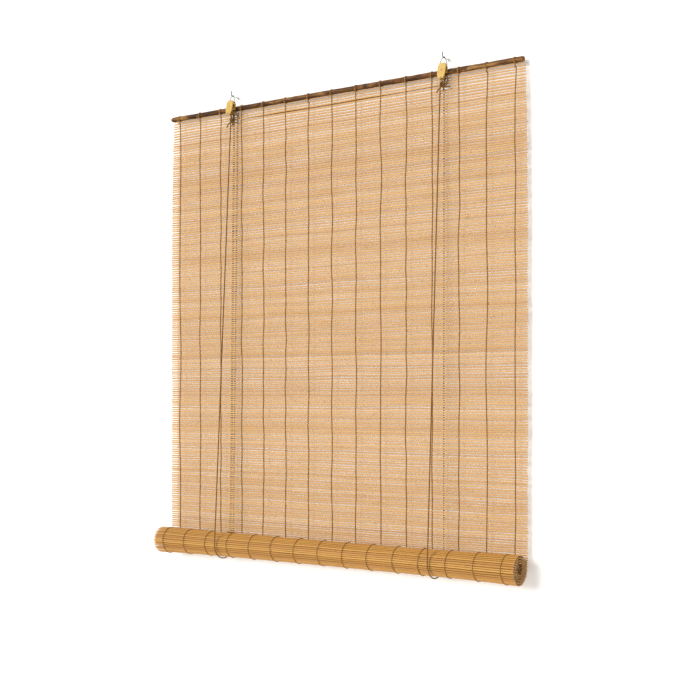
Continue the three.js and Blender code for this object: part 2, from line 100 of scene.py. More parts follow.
# ---- Material helpers ----
class Shader:
    """A principled material and short calls for the nodes in front of it."""

    def __init__(self, name):
        self.material = bpy.data.materials.new(name)
        self.material.use_nodes = True
        self.tree = self.material.node_tree
        self.tree.nodes.clear()
        self.out = self.tree.nodes.new("ShaderNodeOutputMaterial")
        self.main = self.tree.nodes.new("ShaderNodeBsdfPrincipled")
        self.tree.links.new(self.main.outputs[0], self.out.inputs[0])

    def add(self, kind, **inputs):
        node = self.tree.nodes.new(f"ShaderNode{kind}")
        self.feed(node, **inputs)
        return node

    def feed(self, node, **inputs):
        for name, value in inputs.items():
            socket = node.inputs[name.replace("_", " ")]
            if isinstance(value, bpy.types.NodeSocket):
                self.tree.links.new(value, socket)
            else:
                socket.default_value = value

    def attribute(self, name, output="Fac"):
        node = self.add("Attribute")
        node.attribute_name = name
        return node.outputs[output]

    def place(self, scale, source=None):
        source = source or self.add("TexCoord").outputs["Object"]
        return self.add("Mapping", Vector=source, Scale=scale).outputs[0]

    def noise(self, scale, detail=3.0, source=None, stretch=(1, 1, 1), distortion=0.0):
        vector = self.place(stretch, source)
        node = self.add("TexNoise", Vector=vector, Scale=scale, Detail=detail, Distortion=distortion)
        return node.outputs["Fac"]

    def ramp(self, fac, stops):
        node = self.add("ValToRGB", Fac=fac)
        elements = node.color_ramp.elements
        while len(elements) < len(stops):
            elements.new(0.5)
        for element, (position, color) in zip(elements, stops):
            element.position = position
            element.color = (*color, 1)
        return node.outputs[0]

    def math(self, operation, a, b=0.0):
        node = self.add("Math")
        node.operation = operation
        for socket, value in zip(node.inputs, (a, b)):
            if isinstance(value, bpy.types.NodeSocket):
                self.tree.links.new(value, socket)
            else:
                socket.default_value = value
        return node.outputs[0]

    def mix(self, fac, a, b, blend="MIX"):
        node = self.tree.nodes.new("ShaderNodeMix")
        node.data_type = "RGBA"
        node.blend_type = blend
        for index, value in ((0, fac), (6, a), (7, b)):
            socket = node.inputs[index]
            if isinstance(value, bpy.types.NodeSocket):
                self.tree.links.new(value, socket)
            else:
                socket.default_value = value if index == 0 else (*value, 1)
        return node.outputs[2]

    def span(self, fac, low, high, to_low, to_high):
        node = self.add("MapRange", Value=fac)
        for name, value in (("From Min", low), ("From Max", high), ("To Min", to_low), ("To Max", to_high)):
            node.inputs[name].default_value = value
        return node.outputs[0]

    def bump(self, height, strength, distance):
        return self.add("Bump", Height=height, Strength=strength, Distance=distance).outputs[0]

    def finish(self, **inputs):
        self.feed(self.main, **inputs)
        return self.material


def splint_material(name, pale, mid, deep, node_brown, cut_end):
    """Split bamboo: long fibres, each splint its own tone, brown joints and cut ends."""
    s = Shader(name)
    grain = s.attribute("grain", "Vector")
    tone = s.attribute("tone")
    fibres = s.noise(1.0, 4.0, grain, (9, 2600, 2600))
    patches = s.noise(1.0, 2.0, grain, (5, 260, 260))
    blend = s.math("ADD", s.math("MULTIPLY", tone, 0.6), s.math("MULTIPLY", patches, 0.4))
    color = s.ramp(blend, [(0.2, deep), (0.5, mid), (0.8, pale)])
    streak = s.span(fibres, 0.32, 0.68, 0.96, 1.02)
    grey = s.add("CombineColor", Red=streak, Green=streak, Blue=streak).outputs[0]
    color = s.mix(1.0, color, grey, "MULTIPLY")
    joint = s.math("MULTIPLY", s.attribute("joint"), 0.7)
    color = s.mix(joint, color, node_brown)
    color = s.mix(s.math("MULTIPLY", s.attribute("cut"), 0.85), color, cut_end)
    rough = s.span(fibres, 0.3, 0.7, 0.5, 0.68)
    return s.finish(Base_Color=color, Roughness=rough, Normal=s.bump(fibres, 0.08, 0.0003))


def cord_material(name, dark, light, fuzz):
    """Twisted twine: painted shade between the plies, fibrous, matte."""
    s = Shader(name)
    lay = s.attribute("lay")
    hairs = s.noise(2400, 3.0)
    patches = s.noise(60, 2.0)
    # The ply value darkens the grooves between the plies: painted shade.
    value = s.math("ADD", s.math("MULTIPLY", lay, 0.6), s.math("MULTIPLY", patches, 0.5))
    color = s.ramp(value, [(0.12, dark), (0.85, light)])
    shade = s.span(hairs, 0.3, 0.7, 0.75, 1.12)
    grey = s.add("CombineColor", Red=shade, Green=shade, Blue=shade).outputs[0]
    color = s.mix(1.0, color, grey, "MULTIPLY")
    rough = s.span(hairs, 0.3, 0.7, 0.78, 0.95)
    return s.finish(
        Base_Color=color, Roughness=rough, Sheen_Weight=fuzz, Normal=s.bump(hairs, 0.5, 0.0003)
    )


def cane_material(name):
    """Dark mottled cane: long brown streaks, worn paler patches, pores."""
    s = Shader(name)
    patches = s.noise(17, 4.0, None, (1, 4, 4), 0.8)
    streaks = s.noise(1.0, 4.0, None, (14, 900, 900))
    pores = s.noise(1.0, 2.0, None, (90, 1800, 1800))
    value = s.math("ADD", s.math("MULTIPLY", patches, 0.75), s.math("MULTIPLY", streaks, 0.3))
    color = s.ramp(
        value,
        [
            (0.42, (0.05, 0.018, 0.005)),
            (0.52, (0.11, 0.042, 0.010)),
            (0.60, (0.22, 0.10, 0.026)),
            (0.70, (0.37, 0.19, 0.058)),
        ],
    )
    dots = s.span(pores, 0.3, 0.45, 0.45, 1.0)
    grey = s.add("CombineColor", Red=dots, Green=dots, Blue=dots).outputs[0]
    color = s.mix(0.8, color, grey, "MULTIPLY")
    joint = s.math("MULTIPLY", s.attribute("joint"), 0.8)
    color = s.mix(joint, color, (0.03, 0.014, 0.008))
    rough = s.span(streaks, 0.3, 0.7, 0.5, 0.75)
    relief = s.bump(streaks, 0.5, 0.0006)
    return s.finish(Base_Color=color, Roughness=rough, Specular_IOR_Level=0.25, Normal=relief)


def plastic_material(name, color, dark):
    """Moulded plastic: faint flow marks, dulled and dirtied a little."""
    s = Shader(name)
    cloud = s.noise(120, 3.0)
    fine = s.noise(1800, 2.0)
    shade = s.mix(s.span(cloud, 0.35, 0.7, 0.0, 0.55), color, dark)
    rough = s.span(cloud, 0.3, 0.7, 0.32, 0.5)
    return s.finish(Base_Color=shade, Roughness=rough, Normal=s.bump(fine, 0.12, 0.0002))


def steel_material(name, dark, light):
    """Plated or blackened wire: drawn lines, slightly clouded."""
    s = Shader(name)
    cloud = s.noise(260, 3.0)
    lines = s.noise(1.0, 2.0, None, (300, 300, 3000))
    color = s.ramp(cloud, [(0.3, dark), (0.7, light)])
    rough = s.span(cloud, 0.3, 0.7, 0.42, 0.6)
    return s.finish(Base_Color=color, Roughness=rough, Metallic=1.0, Normal=s.bump(lines, 0.2, 0.0001))


def hook_material():
    """Dark wire whose end at the wall is pale: a painted reflection of the white wall."""
    s = Shader("hook_painted_wall_reflection")
    place = s.add("TexCoord").outputs["Object"]
    toward_wall = s.add("SeparateXYZ", Vector=place).outputs["Y"]
    cloud = s.noise(400, 3.0)
    wire = s.ramp(cloud, [(0.3, (0.05, 0.05, 0.055)), (0.7, (0.14, 0.14, 0.14))])
    # Painted reflection: the wire near the wall takes a colour close to the wall's white.
    painted_wall_reflection = s.ramp(cloud, [(0.3, (0.70, 0.69, 0.67)), (0.7, (0.82, 0.81, 0.79))])
    edge = s.math("ADD", toward_wall, s.math("MULTIPLY", cloud, 0.002))
    color = s.mix(s.span(edge, -0.0165, -0.0145, 0.0, 1.0), wire, painted_wall_reflection)
    return s.finish(Base_Color=color, Roughness=0.55, Metallic=0.0)


# Panel and roll are one bamboo: the panel's paler colours are painted light.
PANEL_BAMBOO_PAINTED_LIT = splint_material(
    "panel_bamboo_painted_lit",
    (0.66, 0.395, 0.155), (0.59, 0.335, 0.12), (0.52, 0.275, 0.092), (0.34, 0.17, 0.06), (0.66, 0.46, 0.24),
)
# The roll's deeper, more golden colours are painted warm bounce light between its turns.
ROLL_BAMBOO_PAINTED_BOUNCE = splint_material(
    "roll_bamboo_painted_bounce",
    (0.63, 0.335, 0.075), (0.52, 0.25, 0.045), (0.41, 0.178, 0.03), (0.22, 0.10, 0.03), (0.74, 0.55, 0.29),
)
WARP_THREAD = cord_material("warp_thread", (0.21, 0.092, 0.016), (0.42, 0.21, 0.05), 0.02)
TWINE = cord_material("brown_twine", (0.075, 0.031, 0.006), (0.27, 0.13, 0.03), 0.02)
CANE = cane_material("dark_cane")
PLASTIC = plastic_material("pulley_yellow", (0.66, 0.42, 0.08), (0.42, 0.23, 0.035))
SHEAVE = plastic_material("sheave_cream", (0.70, 0.56, 0.26), (0.52, 0.38, 0.15))
# The cross cord is the same brown twine, painted lighter and more orange as painted light from the white wall
# behind it.
CROSS_TWINE_PAINTED_LIGHT = cord_material("cross_twine_painted_light", (0.26, 0.115, 0.022), (0.56, 0.29, 0.07), 0.02)
STEEL = steel_material("zinc_wire", (0.06, 0.06, 0.065), (0.16, 0.16, 0.16))
DARK_STEEL = steel_material("dark_pin", (0.03, 0.026, 0.022), (0.09, 0.075, 0.06))
HOOK_STEEL = hook_material()


# ---- Mesh helpers ----
def make_object(name, vertices, faces, material, floats=(), vectors=(), smooth=True):
    mesh = bpy.data.meshes.new(name)
    mesh.from_pydata(np.asarray(vertices, float).tolist(), [], faces)
    for label, values in dict(floats).items():
        layer = mesh.attributes.new(label, "FLOAT", "POINT")
        layer.data.foreach_set("value", np.asarray(values, np.float32).ravel())
    for label, values in dict(vectors).items():
        layer = mesh.attributes.new(label, "FLOAT_VECTOR", "POINT")
        layer.data.foreach_set("vector", np.asarray(values, np.float32).ravel())
    mesh.materials.append(material)
    mesh.polygons.foreach_set("use_smooth", [smooth] * len(mesh.polygons))
    mesh.update()
    obj = bpy.data.objects.new(name, mesh)
    bpy.context.scene.collection.objects.link(obj)
    return obj


def grid_faces(rows, columns, start, closed_rows=False):
    """Quads between rows of a tube of that many columns, and a cap at each end unless it closes."""
    faces = []
    for i in range(rows if closed_rows else rows - 1):
        a, b = start + i * columns, start + ((i + 1) % rows) * columns
        for k in range(columns):
            n = (k + 1) % columns
            faces.append((a + k, a + n, b + n, b + k))
    if not closed_rows:
        faces.append(tuple(start + k for k in reversed(range(columns))))
        last = start + (rows - 1) * columns
        faces.append(tuple(last + k for k in range(columns)))
    return faces


def spaced(points, step):
    """The polyline again, with points evenly about step apart."""
    points = np.asarray(points, float)
    along = np.concatenate([[0], np.cumsum(np.linalg.norm(np.diff(points, axis=0), axis=1))])
    at = np.linspace(0, along[-1], max(3, int(round(along[-1] / step)) + 1))
    return np.stack([np.interp(at, along, points[:, k]) for k in range(3)], axis=1)


def smooth_route(points, steps=12):
    """A centripetal curve through the points."""
    p = np.asarray(points, float)
    p = np.vstack([2 * p[0] - p[1], p, 2 * p[-1] - p[-2]])
    out = []
    for i in range(1, len(p) - 2):
        a, b, c, d = p[i - 1], p[i], p[i + 1], p[i + 2]
        t0 = 0.0
        t1 = t0 + np.linalg.norm(b - a) ** 0.5
        t2 = t1 + np.linalg.norm(c - b) ** 0.5
        t3 = t2 + np.linalg.norm(d - c) ** 0.5
        for t in np.linspace(t1, t2, steps, endpoint=False):
            a1 = (t1 - t) / (t1 - t0) * a + (t - t0) / (t1 - t0) * b
            a2 = (t2 - t) / (t2 - t1) * b + (t - t1) / (t2 - t1) * c
            a3 = (t3 - t) / (t3 - t2) * c + (t - t2) / (t3 - t2) * d
            b1 = (t2 - t) / (t2 - t0) * a1 + (t - t0) / (t2 - t0) * a2
            b2 = (t3 - t) / (t3 - t1) * a2 + (t - t1) / (t3 - t1) * a3
            out.append((t2 - t) / (t2 - t1) * b1 + (t - t1) / (t2 - t1) * b2)
    out.append(p[-2])
    return np.array(out)


def frames_along(points):
    """Tangents and a pair of normals that turn as little as possible."""
    tangents = np.gradient(points, axis=0)
    tangents /= np.maximum(np.linalg.norm(tangents, axis=1), 1e-12)[:, None]
    seed = np.eye(3)[np.abs(tangents[0]).argmin()]
    normal = np.cross(tangents[0], seed)
    normals = []
    for t in tangents:
        normal = normal - t * (normal @ t)
        normal = normal / np.linalg.norm(normal)
        normals.append(normal)
    normals = np.array(normals)
    return tangents, normals, np.cross(tangents, normals)


def rope_geometry(route, radius, sides=10, step=0.0012, plies=3, turn=0.0075, groove=0.16, start=0, ends=0.6):
    """Vertices, faces and ply value of a twisted cord along a route; its ends round off."""
    points = spaced(route, step)
    _, n, b = frames_along(points)
    along = np.linspace(0, 1, len(points)) * np.linalg.norm(np.diff(points, axis=0), axis=1).sum()
    around = 2 * math.pi * np.arange(sides) / sides
    phase = plies * (around[None, :] - 2 * math.pi * along[:, None] / turn)
    lay = np.abs(np.cos(phase / 2))
    size = np.full(len(points), radius)
    size[[0, -1]] *= ends
    r = size[:, None] * (1 - groove + groove * lay)
    verts = points[:, None, :] + r[..., None] * (
        np.cos(around)[None, :, None] * n[:, None, :] + np.sin(around)[None, :, None] * b[:, None, :]
    )
    return verts.reshape(-1, 3), grid_faces(len(points), sides, start), lay.ravel(), points


def rope_object(name, routes, radius, material=TWINE, **options):
    """One object of one or more twisted cords."""
    vertices, faces, lays, paths = [], [], [], []
    start = 0
    for route in routes:
        v, f, lay, path = rope_geometry(route, radius, start=start, **options)
        vertices.append(v)
        faces += f
        lays.append(lay)
        paths.append(path)
        start += len(v)
    obj = make_object(name, np.vstack(vertices), faces, material, floats={"lay": np.concatenate(lays)})
    return obj, paths


# ---- Cords: routes as in the frame ----
def mm(*points):
    return [tuple(v * MM for v in p) for p in points]


LEFT_X, RIGHT_X = -294.0, 302.2  # the pulley blocks
SHEAVE_Z, ON_SHEAVE = -34.5, 3.9
GROOVE_1, GROOVE_2 = -26.2, -29.4
LEAD_TOP = SHEAVE_Z - 4
BLOCK_FOOT = -56.0  # under the blocks, where the front cords begin to shorten
ROLL_FACE_TOP = ROLL_Z / MM + 34  # where they end, in front of the roll
LEFT_BIGHT_X, RIGHT_BIGHT_X = -301, 296.5
BIGHT_RADIUS = 34.2
LEFT_REAR_X, RIGHT_REAR_X = -285.5, 297  # the knots that end the lift cords
UNDER_ROD = -42.6
BEHIND_FABRIC = -5.8
PULL_TOP_Y, PULL_TOP_Z, PULL_DROP = -9.05, -52.3, 1004
WALLWARD, CLEAR_OF_BIGHT = 0.65, 1.7


def lean(x, y, z):
    """A point of an upright pulley, in mm, leaned about the rod's axis."""
    c, s = math.cos(PULLEY_LEAN), math.sin(PULLEY_LEAN)
    dy, dz = y - ROD_Y / MM, z - ROD_Z / MM
    return x, ROD_Y / MM + dy * c - dz * s, ROD_Z / MM + dy * s + dz * c


def over_sheave(x, y, side):
    return [
        lean(x + side * ON_SHEAVE * math.cos(a), y, SHEAVE_Z + ON_SHEAVE * math.sin(a))
        for a in np.linspace(0, math.pi, 13)
    ]


def front_tangent(y, z):
    """Angle, y and z, in mm, where a straight cord from (y, z) touches the front of the bight circle."""
    dy, dz = y - ROLL_Y / MM, z - ROLL_Z / MM
    angle = math.atan2(dz, dy) + math.acos(BIGHT_RADIUS / math.hypot(dy, dz))
    return angle, ROLL_Y / MM + BIGHT_RADIUS * math.cos(angle), ROLL_Z / MM + BIGHT_RADIUS * math.sin(angle)


def on_front_cord(x, groove_y, bight_x, z):
    """The point at a height, in mm, of the straight cord from a sheave down to its bight."""
    top = lean(x, groove_y, LEAD_TOP)
    _, end_y, end_z = front_tangent(top[1], top[2])
    t = (z - top[2]) / (end_z - top[2])
    return x + (bight_x - x) * t, top[1] + (end_y - top[1]) * t, z


def front_run(*cord):
    """The part that shortens: under the pulley block, and above the roll's face."""
    return mm(on_front_cord(*cord, BLOCK_FOOT - 0.3), on_front_cord(*cord, ROLL_FACE_TOP + 0.3))


def rear_run(x, bight_x):
    """From the knot behind the rod down to the bight."""
    return mm((x, -9.9, -47), (bight_x, -10.4, -1090.7))


def bight_run(x, groove_y, bight_x):
    """Round the roll from behind, and up its face."""
    top = lean(x, groove_y, LEAD_TOP)
    angle = front_tangent(top[1], top[2])[0]
    end = angle - 2 * math.pi if angle > 0 else angle
    return mm(
        *[
            (bight_x, ROLL_Y / MM + BIGHT_RADIUS * math.cos(a), ROLL_Z / MM + BIGHT_RADIUS * math.sin(a))
            for a in np.linspace(0, end, 60)
        ],
        on_front_cord(x, groove_y, bight_x, ROLL_FACE_TOP),
    )


def lead_run():
    """The left lift cord: up from the front run, over its sheave and back under the rod."""
    ox, ix, y = LEFT_X - ON_SHEAVE, LEFT_X + ON_SHEAVE, GROOVE_2
    back = smooth_route(
        [
            lean(ox, y, SHEAVE_Z - 3.1), lean(ox - 0.7, y + 0.2, SHEAVE_Z - 6.1),
            lean(ox - 2, y + 1.4, SHEAVE_Z - 9), lean(ox - 2.9, y + 4.4, SHEAVE_Z - 11),
            (ox - 3.1, -19.5, UNDER_ROD), (ox - 3.2, -12, UNDER_ROD),
            (ox - 3.3, -10.4, -43.3), (ox - 3.4, -9.9, -45), (ox - 3.6, -9, -48.5), (ox - 3.7, -9, -52),
        ],
        6,
    )
    foot = on_front_cord(ix, y, LEFT_BIGHT_X, BLOCK_FOOT)
    return mm(foot, lean(ix, y, LEAD_TOP), lean(ix, y, SHEAVE_Z - 2.6), *over_sheave(LEFT_X, y, 1), *back)


def cross_run():
    """The right lift cord: over the right sheave, behind the fabric to the left one, over it and back."""
    y, ri, ro = GROOVE_1, RIGHT_X - ON_SHEAVE, RIGHT_X + ON_SHEAVE
    lo, li = LEFT_X - ON_SHEAVE, LEFT_X + ON_SHEAVE
    across = smooth_route(
        [
            lean(ro, y, SHEAVE_Z - 3.1), lean(ro, y + 0.2, SHEAVE_Z - 6.6), lean(ro, y + 1.8, SHEAVE_Z - 9.8),
            (ro, -20, UNDER_ROD), (ro, -12, UNDER_ROD), (ro - 0.2, -9.8, -43.6), (ro - 1.4, -7.4, -48),
            (ro - 4.8, -6, -53), (ro - 12, BEHIND_FABRIC, -56.6), (ro - 24, BEHIND_FABRIC, -57),
            (150, BEHIND_FABRIC, -58), (0, BEHIND_FABRIC, -58.6), (-150, BEHIND_FABRIC, -58),
            (li + 22, BEHIND_FABRIC, -57), (li + 10, BEHIND_FABRIC, -56.6), (li + 3.6, -6.2, -53.4),
            (li + 0.4, -7.4, -48), (li, -9.8, -43.6), (li, -12, UNDER_ROD), (li, -20.5, -42.4),
            lean(li, y + 1.6, SHEAVE_Z - 9.6), lean(li, y + 0.1, SHEAVE_Z - 6.2), lean(li, y, SHEAVE_Z - 2.6),
        ],
        6,
    )
    down = smooth_route(
        [
            lean(lo, y, SHEAVE_Z - 3.1), lean(lo, y + 0.2, SHEAVE_Z - 6.6), lean(lo, y + 1.8, SHEAVE_Z - 9.8),
            (lo, -20.5, UNDER_ROD), (lo, -12, UNDER_ROD), (lo - 0.1, -10.3, -43.4), (lo - 0.2, -9.8, -45),
            (lo - 0.3, -9, -48.5), (lo - 0.4, -9, -52),
        ],
        6,
    )
    foot = on_front_cord(ri, y, RIGHT_BIGHT_X, BLOCK_FOOT)
    up = [foot, lean(ri, y, LEAD_TOP), lean(ri, y, SHEAVE_Z - 2.6)]
    return mm(*up, *over_sheave(RIGHT_X, y, -1), *across, *over_sheave(LEFT_X, y, 1), *down)


HANK_X, HANK_BEND, HANK_RUN, HANK_Z = -314.9, (7.9, 10.2), 29.8, -1091.5
HANK_LAYERS = {"inner": (-3.0, -5.4), "outer": (-7.8, -10.2)}


def hank_turns(layers):
    """Oval turns in the plane of the wall, one in each layer and width, joined by easy steps."""
    points = []
    half = HANK_RUN / 2
    inner, outer = HANK_BEND
    places = [(inner, layers[0]), (outer, layers[0]), (outer, layers[1]), (inner, layers[1])]
    oval = [(1, half), (1, 0), (1, -half)]
    oval += [(math.cos(a), -half + math.sin(a) * 1j) for a in -np.linspace(0, math.pi, 9)[1:-1]]
    oval += [(-1, -half), (-1, 0), (-1, half)]
    oval += [(math.cos(a), half + math.sin(a) * 1j) for a in math.pi - np.linspace(0, math.pi, 9)[1:-1]]
    for turn, (bend, y) in enumerate(places):
        next_bend, next_y = places[min(turn + 1, len(places) - 1)]
        for i, (across, up) in enumerate(oval):
            ease = max(0.0, i / len(oval) - 0.5) * 2
            ease = ease * ease * (3 - 2 * ease)
            w = bend + (next_bend - bend) * ease
            up = complex(up)
            points.append((HANK_X + across * w, y + (next_y - y) * ease, HANK_Z + up.real + up.imag * w))
    return points


def pull_run(top_x, bottom_x, layers):
    """Straight down behind the fabric, then into the hank and out at its foot."""
    straight = []
    for t in np.linspace(0, 1, 22):
        x = top_x + (bottom_x - top_x) * t
        y = PULL_TOP_Y + WALLWARD * t + CLEAR_OF_BIGHT * np.interp(t, (0, 0.04, 0.9, 1), (0, 1, 1, 0))
        straight.append((x, y, PULL_TOP_Z - PULL_DROP * t))
    turns = hank_turns(layers)
    tail = [
        (HANK_X + 8, layers[1], HANK_Z),
        (HANK_X + 7.2, layers[1], HANK_Z - 16),
        (HANK_X + 3, layers[1] * 0.7 - 2, HANK_Z - 25.5),
    ]
    return mm(*smooth_route([*straight, *turns, *tail], 5))


def with_frame(obj, body, slot, *nodes):
    """Rides a piece on a body and hides the nodes it stands for; slot is not used."""
    if nodes:
        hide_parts(*nodes)
    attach(obj, body)
    return obj


def shorten(obj):
    """Gives a run above the roll its own copy of its mesh."""
    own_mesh(obj)


runs = {
    "left_front_cord": front_run(LEFT_X + ON_SHEAVE, GROOVE_2, LEFT_BIGHT_X),
    "right_front_cord": front_run(RIGHT_X - ON_SHEAVE, GROOVE_1, RIGHT_BIGHT_X),
    "left_rear_cord": rear_run(LEFT_REAR_X, LEFT_BIGHT_X),
    "right_rear_cord": rear_run(RIGHT_REAR_X, RIGHT_BIGHT_X),
}
for node, route in runs.items():
    cord, paths = rope_object(f"{node}_twist", [route], CORD_RADIUS)
    with_frame(cord, "headrail", "twine", node)
    shorten(cord)

for node, route in {
    "left_bight": bight_run(LEFT_X + ON_SHEAVE, GROOVE_2, LEFT_BIGHT_X),
    "right_bight": bight_run(RIGHT_X - ON_SHEAVE, GROOVE_1, RIGHT_BIGHT_X),
}.items():
    cord, paths = rope_object(f"{node}_twist", [route], CORD_RADIUS)
    with_frame(cord, "lift", "twine", node)

for node, route, twine in (
    ("left_lead_cord", lead_run(), TWINE),
    ("cross_cord", cross_run(), CROSS_TWINE_PAINTED_LIGHT),
):
    cord, paths = rope_object(f"{node}_twist", [route], CORD_RADIUS, twine)
    with_frame(cord, "headrail", "twine", node)

pulls = {}
for side, top_x, bottom_x, nodes in (
    ("inner", -298.3, -309, ("pull_cord_inner", "pull_hank")),
    ("outer", -301.6, -313, ("pull_cord_outer",)),
):
    route = pull_run(top_x, bottom_x, HANK_LAYERS[side])
    cord, paths = rope_object(f"pull_cord_{side}_twist", [route], PULL_RADIUS)
    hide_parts(*nodes)
    pulls[side] = (cord, route, paths[0])


# ---- End knot and tie of the hank ----
def overhand(centre, size, turn=0.0, tilt=0.0, squeeze=1.0):
    """The closed path of a simple knot about a centre."""
    t = np.linspace(0, 2 * math.pi, 64)
    x = (np.sin(t) + 2 * np.sin(2 * t)) / 3 * size
    y = -np.sin(3 * t) / 3 * size * 1.1
    z = (np.cos(t) - 2 * np.cos(2 * t)) / 3 * size * squeeze
    c, s = math.cos(turn), math.sin(turn)
    x, z = c * x - s * z, s * x + c * z
    c, s = math.cos(tilt), math.sin(tilt)
    x, y = c * x - s * y, s * x + c * y
    return np.stack([x + centre[0], y + centre[1], z + centre[2]], axis=1)


def metres(points):
    return np.asarray(points, float) * MM


HANK_Y = -6.6
knot_place = (HANK_X, HANK_Y, -1121.0)
end_knot, _ = rope_object(
    "pull_end_knot_tied",
    [metres(overhand(knot_place, 2.2, 0.4)), metres(overhand(knot_place, 1.9, 1.9, 1.2))],
    1.0 * MM,
    step=0.0006,
)
with_frame(end_knot, "pull_end", "twine", "pull_end_knot")

TIE_TURNS, TIE_HALF_WIDTH, TIE_HALF_DEPTH, TIE_HEIGHT = 3, 12.4, 5.4, 4.4
wrap = []
for a in np.linspace(0, 2 * math.pi * TIE_TURNS, 120):
    c, s = math.cos(a), math.sin(a)
    across = math.copysign(abs(c) ** 0.35, c) * TIE_HALF_WIDTH
    deep = math.copysign(abs(s) ** 0.35, s) * TIE_HALF_DEPTH
    up = TIE_HEIGHT / 2 - TIE_HEIGHT * a / (2 * math.pi * TIE_TURNS)
    wrap.append((HANK_X + across, HANK_Y + deep, HANK_Z + up))
hank_tie, _ = rope_object("hank_tie", [metres(wrap)], 0.8 * MM)
with_frame(hank_tie, "pull_end", "twine")

for side, (cord, route, path) in pulls.items():
    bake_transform(cord)


# ---- Splints ----
def wander(count, lengths, amplitude):
    """A smooth random field of x and distance along the fabric."""
    kx = 2 * math.pi / rng.uniform(*lengths[0], count)
    ks = 2 * math.pi / rng.uniform(*lengths[1], count) * rng.choice([-1, 1], count)
    phase = rng.uniform(0, 2 * math.pi, count)
    weight = amplitude * rng.uniform(0.5, 1.0, count) / math.sqrt(count)

    def field(x, s):
        x, s = np.broadcast_arrays(np.asarray(x, float), np.asarray(s, float))
        return (weight * np.sin(x[..., None] * kx + s[..., None] * ks + phase)).sum(-1)

    return field


